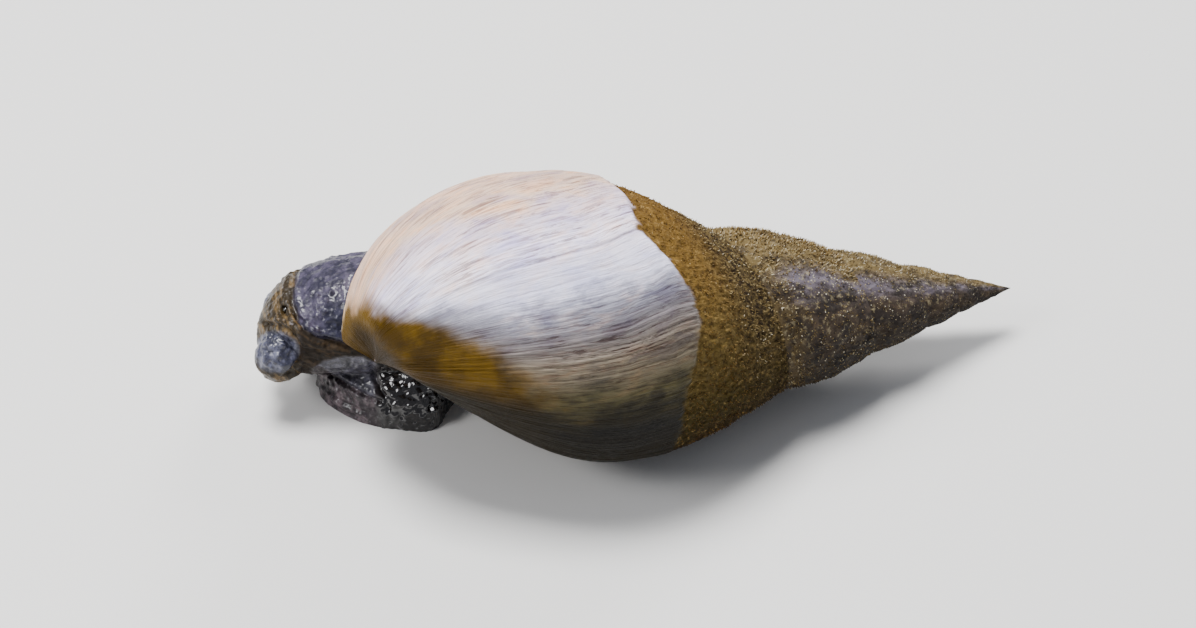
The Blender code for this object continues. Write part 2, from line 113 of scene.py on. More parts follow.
def addMesh(name, verts, faces, material):
    mesh = bpy.data.meshes.new(name)
    mesh.from_pydata(np.asarray(verts).tolist(), [], faces)
    mesh.update()
    mesh.shade_smooth()
    mesh.materials.append(material)
    piece = bpy.data.objects.new(name, mesh)
    bpy.context.scene.collection.objects.link(piece)
    return piece


def addNumbers(piece, name, values):  # one number for each point, read by the materials
    layer = piece.data.attributes.new(name, "FLOAT", "POINT")
    layer.data.foreach_set("value", np.asarray(values, dtype=np.float32))


def faceOut(piece):  # drops points that no face uses and turns the faces outwards
    bm = bmesh.new()
    bm.from_mesh(piece.data)
    bmesh.ops.delete(bm, geom=[v for v in bm.verts if not v.link_faces], context="VERTS")
    bmesh.ops.recalc_face_normals(bm, faces=bm.faces)
    bm.to_mesh(piece.data)
    bm.free()


def dress(piece, nodes):
    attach(piece, "root")
    if nodes:
        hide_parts(*nodes)


# material maths: a value that can be added, multiplied and so on
class Value:
    def __init__(self, paint, socket):
        self.paint = paint
        self.socket = socket

    def combine(self, operation, first, second):
        return self.paint.add("ShaderNodeMath", {"operation": operation}, {0: first, 1: second})

    def __add__(self, other):
        return self.combine("ADD", self, other)

    def __radd__(self, other):
        return self.combine("ADD", other, self)

    def __sub__(self, other):
        return self.combine("SUBTRACT", self, other)

    def __rsub__(self, other):
        return self.combine("SUBTRACT", other, self)

    def __mul__(self, other):
        return self.combine("MULTIPLY", self, other)

    def __rmul__(self, other):
        return self.combine("MULTIPLY", other, self)


class Paint:
    def __init__(self, name, roughness=0.4, coatRoughness=0.08, specular=0.5):
        self.material = bpy.data.materials.new(name)
        self.material.use_nodes = True
        self.tree = self.material.node_tree
        self.shader = self.tree.nodes["Principled BSDF"]
        self.finish(Roughness=roughness, Coat_Roughness=coatRoughness, Specular_IOR_Level=specular)

    def add(self, kind, settings=None, inputs=None, output=0):
        node = self.tree.nodes.new(kind)
        for key, value in (settings or {}).items():
            if key == "stops":
                self.setStops(node.color_ramp, value)
            else:
                setattr(node, key, value)
        for key, value in (inputs or {}).items():
            self.plug(node.inputs[key], value)
        return Value(self, node.outputs[output])

    def setStops(self, ramp, stops):
        for element, (place, colour) in zip(ramp.elements, (stops[0], stops[-1])):
            element.position = place
            element.color = (*colour, 1.0)
        for place, colour in stops[1:-1]:
            ramp.elements.new(place).color = (*colour, 1.0)

    def plug(self, socket, value):
        if isinstance(value, Value):
            self.tree.links.new(value.socket, socket)
        elif isinstance(value, tuple) and len(value) == 3 and socket.type == "RGBA":
            socket.default_value = (*value, 1.0)
        else:
            socket.default_value = value

    def number(self, name):
        return self.add("ShaderNodeAttribute", {"attribute_name": name}, {}, "Fac")

    def place(self):
        return self.add("ShaderNodeTexCoord", {}, {}, "Object")

    def point(self, x, y, z=0.0):
        return self.add("ShaderNodeCombineXYZ", {}, {0: x, 1: y, 2: z})

    def noise(self, at, scale, detail=3.0, rough=0.55, warp=0.0):
        inputs = {"Vector": at, "Scale": scale, "Detail": detail, "Roughness": rough, "Distortion": warp}
        return self.add("ShaderNodeTexNoise", {}, inputs, "Fac")

    def step(self, value, low, high):  # 0 below low, 1 above high
        return self.add("ShaderNodeMapRange", {"interpolation_type": "SMOOTHSTEP"},
                        {"Value": value, "From Min": low, "From Max": high})

    def cells(self, at, scale):
        return self.add("ShaderNodeTexVoronoi", {}, {"Vector": at, "Scale": scale}, "Distance")

    def ramp(self, value, stops):
        return self.add("ShaderNodeValToRGB", {"stops": stops}, {0: value})

    def mix(self, share, first, second, how="MIX"):
        settings = {"data_type": "RGBA", "blend_type": how}
        return self.add("ShaderNodeMix", settings, {0: share, 6: first, 7: second}, 2)

    def bump(self, height, distance, strength=0.9, normal=None):
        inputs = {"Height": height, "Distance": distance, "Strength": strength}
        if normal is not None:
            inputs["Normal"] = normal
        return self.add("ShaderNodeBump", {}, inputs)

    def finish(self, **sockets):
        for name, value in sockets.items():
            self.plug(self.shader.inputs[name.replace("_", " ")], value)
        return self.material


# the shell's shape and place: the same sizes as the solids, in millimetres along the shell's own axis
# from its tip and degrees of growth back from the lip
shellShape = dict(
    whorlRatio=1.6, lipSuture=27.0, sutureSlope=0.285, baseEnd=51.9, baseDip=1.6, dipRadius=4.2,
    radialScale=0.93, coveredFrom=0.772, whorlBulge=0.62, restWidth=0.04,
    lipWall=0.45, innerLip=0.25, recess=25.0, lipAngle=100.0, yaw=20.2, pitch=8.5,
    carryPlace=32.0, carryX=1.45, carryHeight=8.54, eyeSpot=(-22.72, 2.7, 8.52),
    widestRadius=((-420, 7.1), (-360, 7.98), (-244, 9.5), (-154, 11.5), (-64, 13.1), (0, 14.1), (40, 14.5)),
    widestPlace=((-420, 28.9), (-360, 30.3), (-244, 33.0), (-154, 35.6), (-64, 38.3), (0, 39.4), (40, 40.0)),
    baseFullness=((-420, 2.7), (-360, 2.6), (-244, 2.0), (-154, 0.95), (-64, 0.47), (0, 0.42), (40, 0.4)),
    restLine=((-360, 0.72), (-190, 0.74), (-165, 0.65), (-148, 0.57), (-126, 0.61), (-110, 0.7), (-88, 0.63),
              (0, 0.58)),
)


def middleOf(node):
    low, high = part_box(node)
    return (np.array(low) + high) / 2


# from the solids' sizes to the frame: the left eye marks the way
shift = (middleOf("eye_left") - np.array(shellShape["eyeSpot"]) * mm) * (1, 1, 0)

# directions of the shell: along its axis to the base, up and to the right of it, and where its tip lies
yaw, pitch = math.radians(shellShape["yaw"]), math.radians(shellShape["pitch"])
toBase = np.array((-math.cos(yaw) * math.cos(pitch), -math.sin(yaw) * math.cos(pitch), math.sin(pitch)))
shellRight = np.cross(toBase, (0, 0, 1))
shellRight /= np.linalg.norm(shellRight)
shellUp = np.cross(shellRight, toBase)
shellTip = np.array((shellShape["carryX"], 0, shellShape["carryHeight"])) - toBase * shellShape["carryPlace"]


def whorlScale(growth):  # how much smaller the shell was, 1 a whorl back from the lip
    return shellShape["whorlRatio"] ** ((growth + 360) / 360.0)


def profileRows(growth, s):  # place, radius and share of the shoulder for an array of rows
    shape = shellShape
    scale = 1.0
    if growth < -360:
        scale = whorlScale(growth)
        growth = -360.0
    start = shape["lipSuture"] * shape["whorlRatio"] ** (growth / 360.0)
    startRadius = shape["sutureSlope"] * start
    widest = spline(shape["widestPlace"], growth)
    widestRadius = spline(shape["widestRadius"], growth)
    covered = shape["coveredFrom"]
    y = np.interp(s, (0.0, 0.5, 0.6), (0.0, covered, 1.0))
    plain = np.sin(math.pi * y / 2)
    full = 1 - (1 - y) ** 2.3
    rest = ease((y - spline(shape["restLine"], growth)) / shape["restWidth"] + 0.5)
    rest = rest * ease((growth + 340) / 60)
    bulge = shape["whorlBulge"] * np.sin(math.pi * np.minimum(y / covered, 1.0)) * ease((-190 - growth) / 170)
    place = start + (widest - start) * y
    radius = startRadius + (widestRadius - startRadius) * (plain + (full - plain) * rest) + bulge
    x = np.sin(math.pi * np.clip((s - 0.6) / 0.4, 0, 1) / 2)
    lower = widestRadius * np.maximum(1 - x * x, 0.0) ** spline(shape["baseFullness"], growth)
    dip = shape["baseDip"] * ease(1 - lower / shape["dipRadius"])
    lowerPlace = widest + (shape["baseEnd"] - widest) * x - dip * x
    place = np.where(s <= 0.6, place, lowerPlace)
    radius = np.where(s <= 0.6, radius, lower)
    return place * scale, radius * scale * shape["radialScale"], y


def shellPoints(growth, place, radius):
    angle = np.radians(growth + shellShape["lipAngle"])
    outward = np.multiply.outer(np.cos(angle), shellUp) + np.multiply.outer(np.sin(angle), shellRight)
    points = shellTip + np.multiply.outer(place, toBase) + outward * np.asarray(radius)[..., None]
    return points * mm + shift


# camera: the photo's view
viewPoint = dict(elevation=40.0, lens=85.0, sensor=36.0, width=85.6, aim=(-0.15, 0.95, 9.6))
viewLift = math.radians(viewPoint["elevation"])
viewBack = (0.0, -math.cos(viewLift), math.sin(viewLift))
viewUp = (0.0, math.sin(viewLift), math.cos(viewLift))
viewAim = np.array(viewPoint["aim"]) * mm + shift
viewDistance = viewPoint["width"] * mm * viewPoint["lens"] / viewPoint["sensor"]


def viewPlace(points):  # where points appear in the view: millimetres across and up from its middle
    offset = points - viewAim
    zoom = viewDistance / (viewDistance - offset @ np.array(viewBack)) / mm
    return offset[:, 0] * zoom, offset @ np.array(viewUp) * zoom


def addCamera():
    back = Vector(viewBack)
    data = bpy.data.cameras.new("photoCamera")
    data.lens = viewPoint["lens"]
    data.sensor_width = viewPoint["sensor"]
    data.clip_start = 0.005
    data.dof.use_dof = False
    camera = bpy.data.objects.new("photoCamera", data)
    camera.location = Vector(viewAim) + back * viewDistance
    camera.rotation_euler = back.to_track_quat("Z", "Y").to_euler()
    bpy.context.scene.collection.objects.link(camera)
    bpy.context.scene.camera = camera


# shell materials
# the bluish white stops from 0.662 to 0.71 are partly the pale shell and partly a painted highlight; the
# underside's darkening is partly the brown shell skin
toneAndPaintedLightStops = [  # pale side, from the lip's far side at 1 back over the underside, darker there partly by painted shade
    (0.0, (0.22, 0.17, 0.11)), (0.2, (0.08, 0.06, 0.03)), (0.39, (0.014, 0.011, 0.004)),
    (0.48, (0.005, 0.004, 0.002)), (0.507, (0.016, 0.013, 0.005)), (0.534, (0.09, 0.077, 0.034)),
    (0.581, (0.23, 0.19, 0.14)), (0.622, (0.2, 0.19, 0.215)), (0.642, (0.33, 0.33, 0.4)),
    (0.662, (0.8, 0.79, 0.98)), (0.71, (0.93, 0.85, 0.99)), (0.753, (0.72, 0.6, 0.68)),
    (0.79, (0.73, 0.52, 0.39)), (0.86, (0.74, 0.5, 0.37)), (0.93, (0.92, 0.68, 0.42)),
    (1.0, (0.92, 0.7, 0.42)),
]
bandAndPaintedShadeStops = [  # rough orange shoulder, the same way round, darker towards the underside partly by painted shade
    (0.0, (0.08, 0.045, 0.012)), (0.38, (0.018, 0.011, 0.003)), (0.47, (0.048, 0.034, 0.006)),
    (0.56, (0.15, 0.1, 0.028)), (0.64, (0.17, 0.098, 0.022)), (1.0, (0.115, 0.048, 0.003)),
]


def lastWhorlMaterial():
    paint = Paint("lastWhorlShell", specular=0.1)
    mix, step, number, noise = paint.mix, paint.step, paint.number, paint.noise
    line, down, place = number("line"), number("down"), paint.place()
    busy, plain, shoulder = number("busy"), number("plain"), number("shoulder")
    turned = line * (1 / 360) + 1.0  # 1 at the lip, 0 a whorl back
    fine = noise(paint.point(line * 0.5, down * 0.25), 1.0, 5.0, 0.72, 0.4)
    hair = noise(paint.point(line * 1.7, down * 0.5, 7.0), 1.0, 3.0, 0.6, 0.4)
    streak = noise(paint.point(line * 0.16, down * 0.35, 3.0), 1.0, 4.0, 0.6, 0.4)
    cloudy = noise(place, 230.0, 5.0, 0.62)
    grain = noise(place, 2600.0, 4.0, 0.7)
    shifted = turned + (streak - 0.5) * 0.05 + (cloudy - 0.5) * 0.04 - step(down, 42.0, 51.0) * 0.06
    tone = paint.ramp(shifted, toneAndPaintedLightStops)
    # calm marks the band of the painted highlight, where the marks are weakened
    calm = step(turned, 0.63, 0.66) * step(turned, 0.71, 0.69)
    marked = (1.0 - plain) * (1.0 - calm * 0.6)
    tints = (
        (step(streak, 0.5, 0.68) * marked * 0.85, (1.16, 1.0, 0.84)),
        (step(streak, 0.5, 0.34) * marked * 0.85, (0.72, 0.7, 0.86)),
        (step(cloudy, 0.5, 0.34) * 0.7, (0.78, 0.8, 0.92)),
        (step(cloudy, 0.54, 0.68) * 0.6, (1.1, 1.0, 0.84)),
        (step(fine, 0.465, 0.395) * (busy * 0.4 + 0.6) * marked, (0.38, 0.32, 0.32)),
        (step(hair, 0.5, 0.68) * (busy * 0.4 + 0.4) * marked, (1.35, 1.3, 1.3)),
        (step(hair, 0.49, 0.38) * marked * 0.75, (0.6, 0.5, 0.5)),
        # the groove is darkened by a painted shadow line
        (number("groove") * step(cloudy, 0.3, 0.6) * 0.7, (0.25, 0.22, 0.23)),
    )
    for share, colour in tints:
        tone = mix(share, tone, colour, "MULTIPLY")
    amber = mix(step(cloudy, 0.4, 0.64), (0.046, 0.023, 0.0), (0.115, 0.061, 0.002))
    amber = mix(step(fine, 0.5, 0.7) * 0.3 * marked, amber, (0.18, 0.11, 0.02))
    # darker towards the underside, partly by painted shade
    amber = mix(step(turned, 0.55, 0.5), amber, (0.012, 0.008, 0.002))
    amber = mix(step(plain, 0.6, 1.0) * 0.75, amber, (0.02, 0.011, 0.002))
    tone = mix(number("amber"), tone, amber)
    pits = step(paint.cells(place, 300.0), 0.07, 0.04) * step(cloudy, 0.5, 0.56)
    tone = mix(pits * 0.8, tone, (0.07, 0.05, 0.045))
    rim = mix(step(hair, 0.4, 0.6), (0.6, 0.48, 0.31), (0.86, 0.79, 0.7))
    tone = mix(number("rim"), tone, rim)
    band = paint.ramp(turned, bandAndPaintedShadeStops)
    band = mix(step(grain, 0.5, 0.35) * 0.7, band, (0.35, 0.3, 0.3), "MULTIPLY")
    band = mix(step(grain, 0.56, 0.72) * 0.5, band, (0.5, 0.33, 0.12))
    crust = mix(step(grain, 0.42, 0.62), (0.02, 0.013, 0.008), (0.14, 0.1, 0.04))
    crusted = number("suture") * 0.9
    band = mix(crusted, band, mix(step(turned, 0.6, 0.46) * 0.7, crust, band))
    tone = mix(shoulder, tone, band)
    tone = mix(number("inside"), tone, (0.42, 0.33, 0.27))
    normal = paint.bump(fine + hair * 0.6, 0.00013)
    normal = paint.bump(grain * shoulder, 0.00025, 0.9, normal)
    roughness = step(streak, 0.3, 0.7) * 0.14 + 0.3 + shoulder * 0.4
    return paint.finish(Base_Color=tone, Normal=normal, Roughness=roughness)


def spireMaterial():
    paint = Paint("spireShell", specular=0.25)
    mix, step, number, noise = paint.mix, paint.step, paint.number, paint.noise
    algae, sheen, dim = number("algae"), number("sheen"), number("dim")
    grain = noise(paint.place(), 2300.0, 5.0, 0.68)
    blotch = noise(paint.place(), 620.0, 4.0, 0.6)
    base = mix(step(blotch, 0.4, 0.6), (0.022, 0.015, 0.012), (0.06, 0.04, 0.024))
    base = mix(algae * step(blotch, 0.3, 0.56), base, (0.14, 0.095, 0.032))
    # the sheen zone's violet grey is a painted highlight along the spire's upper ridge
    base = mix(sheen * step(blotch, 0.36, 0.6), base, (0.12, 0.1, 0.125))
    base = mix(step(grain, 0.54, 0.66) * 0.5, base, (0.36, 0.3, 0.17))
    base = mix(step(grain, 0.46, 0.34) * 0.7, base, (0.013, 0.009, 0.007))
    # painted shade on the spire's lower sides
    base = mix(dim, base, (0.3, 0.28, 0.24), "MULTIPLY")
    roughness = 0.75 - sheen * 0.35
    return paint.finish(Base_Color=base, Normal=paint.bump(grain, 0.00022), Roughness=roughness)


def fuzzMaterial():  # fine growth on the shell, each tuft with a tone of its own
    paint = Paint("shellGrowth", roughness=0.75, specular=0.25)
    tan = [(0.0, (0.015, 0.01, 0.006)), (0.3, (0.05, 0.032, 0.012)), (0.55, (0.19, 0.135, 0.05)),
           (0.8, (0.4, 0.33, 0.17)), (1.0, (0.68, 0.63, 0.5))]
    rust = [(0.0, (0.04, 0.017, 0.002)), (0.5, (0.16, 0.08, 0.008)), (1.0, (0.42, 0.27, 0.09))]
    tone = paint.number("tone")
    base = paint.mix(paint.number("rust"), paint.ramp(tone, tan), paint.ramp(tone, rust))
    return paint.finish(Base_Color=base)


def skinMaterial():
    paint = Paint("wetSkin", coatRoughness=0.05, specular=0.2)
    mix, step, number, noise = paint.mix, paint.step, paint.number, paint.noise
    place, gap, wet = paint.place(), number("gap"), number("wet")
    grain = noise(place, 2700.0, 4.0, 0.66)
    mottled = noise(place, 1100.0, 4.0, 0.62)
    light = step(mottled, 0.42, 0.64)
    streaks = step(number("streak") + (grain - 0.5) * 1.1, 0.4, 1.05)
    base = mix(light, (0.02, 0.016, 0.017), (0.06, 0.05, 0.05))
    tones = (  # zone, strength, pattern, its dark and its light colour
        ("violet", 1.0, light, (0.02, 0.018, 0.034), (0.062, 0.053, 0.088)),
        ("olive", 1.0, streaks, (0.022, 0.014, 0.005), (0.13, 0.082, 0.032)),
        ("blue", 1.0, light, (0.02, 0.021, 0.038), (0.1, 0.103, 0.155)),
        ("pink", 1.0, light, (0.03, 0.023, 0.026), (0.14, 0.105, 0.115)),
        # painted shade on the neck's lower part next to the shell
        ("deep", 0.95, light, (0.007, 0.007, 0.018), (0.024, 0.024, 0.048)),
        # under the neck: brown skin darkened by painted shade
        ("gap", 0.9, streaks, (0.01, 0.006, 0.002), (0.04, 0.024, 0.01)),
    )
    for zone, strength, pattern, darkest, lightest in tones:
        base = mix(number(zone) * strength, base, mix(pattern, darkest, lightest))
    base = mix(wet * 0.9, base, (0.008, 0.007, 0.007))
    calm = 1.0 - wet * 0.85
    # pale bluish specks, partly the skin's own flecks and partly painted glints
    base = mix(step(grain, 0.6, 0.72) * (1.0 - gap) * calm * 0.3, base, (0.42, 0.4, 0.45))
    base = mix(step(grain, 0.44, 0.34) * 0.5, base, (0.009, 0.008, 0.009))
    normal = paint.bump(paint.cells(place, 2100.0) * calm, 0.00012, 0.8)
    normal = paint.bump(grain * calm, 0.00007, 0.8, normal)
    roughness = mottled * 0.3 + 0.3 + gap * 0.3 - wet * 0.25
    coat = 0.32 + wet * 0.68 - gap * 0.32 - number("olive") * 0.2 + number("blue") * 0.25
    return paint.finish(Base_Color=base, Normal=normal, Roughness=roughness, Coat_Weight=coat)


def eyeMaterial():
    paint = Paint("darkEye", roughness=0.12)
    rim = paint.step(paint.noise(paint.place(), 1500.0, 2.0), 0.4, 0.7)
    dark = paint.mix(rim, (0.003, 0.003, 0.004), (0.012, 0.01, 0.012))
    return paint.finish(Base_Color=dark, Coat_Weight=1.0)


# last whorl
lastWhorl = dict(
    columns=840, upperRows=96, lowerRows=140, depths=8, lean=10.0, grooveAt=-108.0, hub=23.0,
    lineHeight=0.045, broadHeight=0.05, grooveDepth=0.1, bandHeight=0.08, lipWaves=0.045,
    bandEdge=0.04, ragged=0.02, notch=0.04, notchAt=-111.5, poleWall=0.9, poleReach=5.0, amberWall=8.5,
    amberRadius=((-360, 6.0), (-240, 8.0), (-185, 8.7), (-166, 8.5), (-147, 7.5), (-133, 6.7), (-120, 5.4),
                 (-100, 4.6), (-73, 4.25), (-51, 4.3), (-36, 4.7), (0, 5.4)),
)


def growthLine(growth, s):  # the lines lean back over the shoulder and waver a little
    waver = layeredCloud(growth * 0.03, s * 5.0, seed=3, layers=2) * 1.6
    return growth + lastWhorl["lean"] * ease((s - 0.38) / 0.3) + waver * ease(s * 4)


def busyLines(line):  # where the growth lines crowd
    return np.clip(np.exp(-((line + 148) / 10) ** 2) + 0.6 * np.exp(-((line + 104) / 7) ** 2)
                   + 0.45 * np.exp(-((line + 80) / 12) ** 2), 0, 1)


def grooveShare(s):
    return ease((s - 0.45) / 0.05) * ease((0.85 - s) / 0.17)


def whorlRelief(line, s, radius, shoulder):
    size = lastWhorl
    fine = layeredCloud(line * 1.1, s * 3.0, seed=11, layers=4, gain=0.75)
    broad = layeredCloud(line * 0.11, s * 6.0, seed=31, layers=2)
    edge = line - size["grooveAt"]
    groove = 0.6 * np.exp(-((edge - 2.0) / 1.8) ** 2) - np.exp(-(edge / 0.7) ** 2)
    rough = layeredCloud(line * 0.45, s * 42.0, seed=41, layers=4, gain=0.7)
    relief = fine * size["lineHeight"] * (0.5 + busyLines(line)) * (1 - shoulder)
    relief += broad * size["broadHeight"] + rough * size["bandHeight"] * shoulder
    relief += groove * size["grooveDepth"] * grooveShare(s)
    relief += size["lipWaves"] * np.cos(line * 0.42 + broad) * ease((line + 85) / 40) * ease((s - 0.4) / 0.2)
    return relief * ease(radius / 3.0)


def towards(points, targets, distance):  # points of a half plane moved towards others
    step = targets - points
    length = np.maximum(np.linalg.norm(step, axis=1), 1e-6)
    share = np.minimum(distance / length, 0.33)
    return points + step * share[:, None]


def resample(chain, count):
    at = np.linspace(0, len(chain) - 1, count)
    return np.stack([np.interp(at, np.arange(len(chain)), chain[:, k]) for k in range(2)], axis=1)


def makeLastWhorl(material):
    size = lastWhorl
    columns, upperRows, lowerRows = size["columns"], size["upperRows"], size["lowerRows"]
    upper, lower = np.arange(upperRows) / upperRows, 1 + np.arange(lowerRows + 1) / lowerRows
    s = 0.5 * np.concatenate((upper, lower))
    rows = len(s) - 1  # the last row is the single point at the base
    share = s[:rows]
    names = ("line", "down", "shoulder", "busy", "groove", "amber", "rim", "inside", "plain", "suture")
    verts, tracks = [], {name: [] for name in names}
    for growth in np.linspace(-360.0, 0.0, columns + 1):
        place, radius, y = profileRows(growth, share)
        edge = ease((growth + 360) / 25) * ease(-growth / 6 + 0.35) * ease(share / 0.02)
        line = growthLine(growth, share)
        notch = size["notch"] * math.exp(-((growth - size["notchAt"]) / 2.2) ** 2)
        ragged = size["ragged"] * layeredCloud(growth * 0.4, y * 14, seed=51, layers=3)
        pastBand = y - spline(shellShape["restLine"], growth) - notch - ragged
        shoulder = 1 - ease(pastBand / size["bandEdge"] + 0.5)
        relief = whorlRelief(line, share, radius, shoulder) * edge
        verts.append(shellPoints(growth, place, radius + relief))
        spots = (shellPoints(growth, place, radius) / mm).T
        stained = spline(size["amberRadius"], growth) - radius + 0.45 * layeredCloud(*spots * 0.9, seed=61)
        fromLip = math.sin(math.radians(min(-growth, 90))) * radius
        offRim = np.maximum(ease((fromLip - 0.45) / 0.6), ease((5.2 - radius) / 0.8))
        values = dict(
            line=line, down=place, shoulder=shoulder, busy=busyLines(line) * ease((share - 0.3) / 0.1),
            groove=np.exp(-((line - size["grooveAt"]) / 0.5) ** 2) * grooveShare(share),
            amber=ease(stained / 1.9 + 0.5) * ease((share - 0.64) / 0.08) * offRim,
            rim=ease((1.1 - fromLip) / 0.6) * ease((place - 34.0) / 8) * ease((radius - 4.6) / 0.8),
            plain=1 - ease((radius - 1.0) / 5.5), suture=ease((0.3 - share) / 0.2), inside=np.zeros(rows),
        )
        for name in names:
            tracks[name].append(values[name])
    verts = list(np.concatenate(verts))
    tracks = {name: list(np.concatenate(tracks[name])) for name in names}
    grid = np.array(verts).reshape(columns + 1, rows, 3)

    def addPoint(point, **numbers):
        verts.append(point)
        for name in names:
            tracks[name].append(numbers.get(name, 0.0))
        return len(verts) - 1

    def at(j, i):
        if i == rows:
            return baseIndex
        if j == 0 and i == upperRows:
            return columns * rows
        return j * rows + i

    basePlace = shellShape["baseEnd"] - shellShape["baseDip"]
    baseIndex = addPoint(shellPoints(0.0, basePlace, 0.0), line=-180, down=51)
    faces = []
    for j in range(columns):
        for i in range(rows):
            corner = [at(j, i), at(j + 1, i), at(j + 1, i + 1), at(j, i + 1)]
            faces.append(corner if i < rows - 1 else corner[:3])
    hub = addPoint(shellPoints(0.0, size["hub"], 0.0), line=-180, down=size["hub"])
    rim = [at(j, 0) for j in range(columns + 1)] + [at(0, i) for i in range(upperRows - 1, 0, -1)]
    for a, b in zip(rim, rim[1:] + rim[:1]):
        faces.append([hub, b, a])

    # the lip's thickness, the hollow behind it and its end
    inner = np.stack(profileRows(-360.0, s[upperRows:])[:2], axis=1)
    loops = []
    for depth in range(size["depths"] + 1):
        growth = -shellShape["recess"] * depth / size["depths"]
        outer = np.stack(profileRows(growth, s)[:2], axis=1)
        lip = towards(outer, resample(inner, len(outer)), shellShape["lipWall"])[1:-1]
        columella = towards(inner, resample(outer, len(inner)), shellShape["innerLip"])[1:-1][::-1]
        loop = np.concatenate((lip, columella))
        sunk = size["poleWall"] * np.clip(1 - loop[:, 1] / size["poleReach"], 0, 1) * min(depth, 1)
        points = shellPoints(growth, loop[:, 0] - sunk, loop[:, 1])
        amber = ease((size["amberWall"] - loop[:, 1]) / 1.5) * (depth < 2)
        loops.append([addPoint(point, line=growth, down=down, inside=float(depth > 1), amber=stain)
                      for point, down, stain in zip(points, loop[:, 0], amber)])
    outerChain = [at(columns, i) for i in range(rows + 1)]
    parietal = [at(0, i) for i in range(upperRows, rows + 1)]
    lip = loops[0][:rows - 1]
    columella = loops[0][rows - 1:][::-1]
    for i in range(1, rows - 1):
        faces.append([outerChain[i], lip[i - 1], lip[i], outerChain[i + 1]])
    for k in range(1, len(parietal) - 2):
        faces.append([parietal[k], parietal[k + 1], columella[k], columella[k - 1]])
    start, end = outerChain[0], outerChain[rows]
    faces += [[start, lip[0], outerChain[1]], [start, columella[0], lip[0]],
              [start, parietal[1], columella[0]]]
    faces += [[end, outerChain[rows - 1], lip[-1]], [end, lip[-1], columella[-1]],
              [end, columella[-1], parietal[-2]]]
    for near, far in zip(loops, loops[1:]):
        for i in range(len(near)):
            j = (i + 1) % len(near)
            faces.append([near[i], far[i], far[j], near[j]])
    faces.append(loops[-1])
    points = np.asarray(verts)
    points[:, 2] = np.maximum(points[:, 2], 0.0)
    piece = addMesh("lastWhorl", points, faces, material)
    for name in names:
        addNumbers(piece, name, tracks[name])
    faceOut(piece)
    dress(piece, ["shell_last_whorl"])
    return grid


# spire
spire = dict(
    columns=320, rows=44, turns=6, coatHeight=0.12, sutureFill=0.28, tip=0.1, hub=17.5,
    sheenAt=-33, sheenWidth=13, tanFrom=-34, tanTo=178, crustFrom=-750,
)


def besideUp(growth):  # degrees round the axis from straight up, below zero towards the viewer
    return (growth + shellShape["lipAngle"] + 180.0) % 360.0 - 180.0


def spireZones(growth, y):  # shares of tan growth, of sheen and of shade at a place on the spire
    side = besideUp(growth) + 9 * cloud(growth * 0.05, y * 3, seed=71)
    sheen = np.exp(-((side - spire["sheenAt"] - 6 * y) / spire["sheenWidth"]) ** 2)
    algae = ease((side - spire["tanFrom"]) / 22) * ease((spire["tanTo"] - side) / 40)
    dim = ease((-62 - side) / 40) + ease((side - 110) / 50) * 0.8
    crust = ease((y - 0.5) / 0.22) * ease((growth - spire["crustFrom"]) / 40)
    return [np.clip(zone, 0, 1) for zone in (algae + 0.6 * crust, sheen - 0.8 * crust, dim - 0.3 * crust)]


def makeSpire(material):
    size = spire
    columns, rows = size["columns"], size["rows"]
    total = columns * size["turns"]
    s = 0.5 * np.arange(rows + 1) / rows
    first = -360.0 * (size["turns"] + 1)
    verts, zones = [], []
    for j in range(total + 1):
        growth = first + 360.0 * j / columns
        place, radius, y = profileRows(growth, s)
        scale = whorlScale(growth)
        coat = layeredCloud(growth * 0.12, s * 9, seed=5, layers=4, gain=0.65)
        coat = coat * ease(s / 0.03) * ease((0.5 - s) / 0.03)
        filled = ease((-growth - 360) / 60) * ease(1 - s / 0.2)
        filled += ease((-growth - 720) / 60) * ease((s - 0.3) / 0.2)
        coat = coat * size["coatHeight"] * scale ** 0.6 + size["sutureFill"] * scale * filled
        verts.append(shellPoints(growth, place, radius + coat))
        zones.append(np.stack(spireZones(growth, y), axis=1))
    verts = np.concatenate(verts)
    grid = verts.reshape(total + 1, rows + 1, 3)

    def at(j, i):
        if i == 0 and j >= columns:
            return (j - columns) * (rows + 1) + rows
        return j * (rows + 1) + i

    faces = []
    for j in range(total):
        for i in range(rows):
            faces.append([at(j, i), at(j + 1, i), at(j + 1, i + 1), at(j, i + 1)])
    tipIndex, hub = len(verts), len(verts) + 1
    verts = np.concatenate((verts, [shellPoints(0.0, place, 0.0) for place in (size["tip"], size["hub"])]))
    for j in range(columns):
        faces.append([tipIndex, at(j + 1, 0), at(j, 0)])
    faces.append([tipIndex] + [at(0, i) for i in range(rows + 1)])
    rim = [at(j, rows) for j in range(total - columns, total + 1)]
    rim += [at(total, i) for i in range(rows - 1, 0, -1)]
    for a, b in zip(rim, rim[1:] + rim[:1]):
        faces.append([hub, a, b])
    piece = addMesh("spire", verts, faces, material)
    zones = np.concatenate(zones + [np.zeros((2, 3))])
    for k, name in enumerate(("algae", "sheen", "dim")):
        addNumbers(piece, name, zones[:, k])
    faceOut(piece)
    dress(piece, ["shell_second_whorl", "shell_third_whorl", "shell_tip"])
    return grid


# fine growth on the shell: short bent threads in tufts, one solid joined mesh for each part
spireFuzz = dict(tufts=3300, threads=4, crumbs=5200, length=0.26, width=0.05, crumb=0.055, seed=5)
bandFuzz = dict(tufts=1800, threads=4, crumbs=900, length=0.17, width=0.045, crumb=0.05, seed=8)


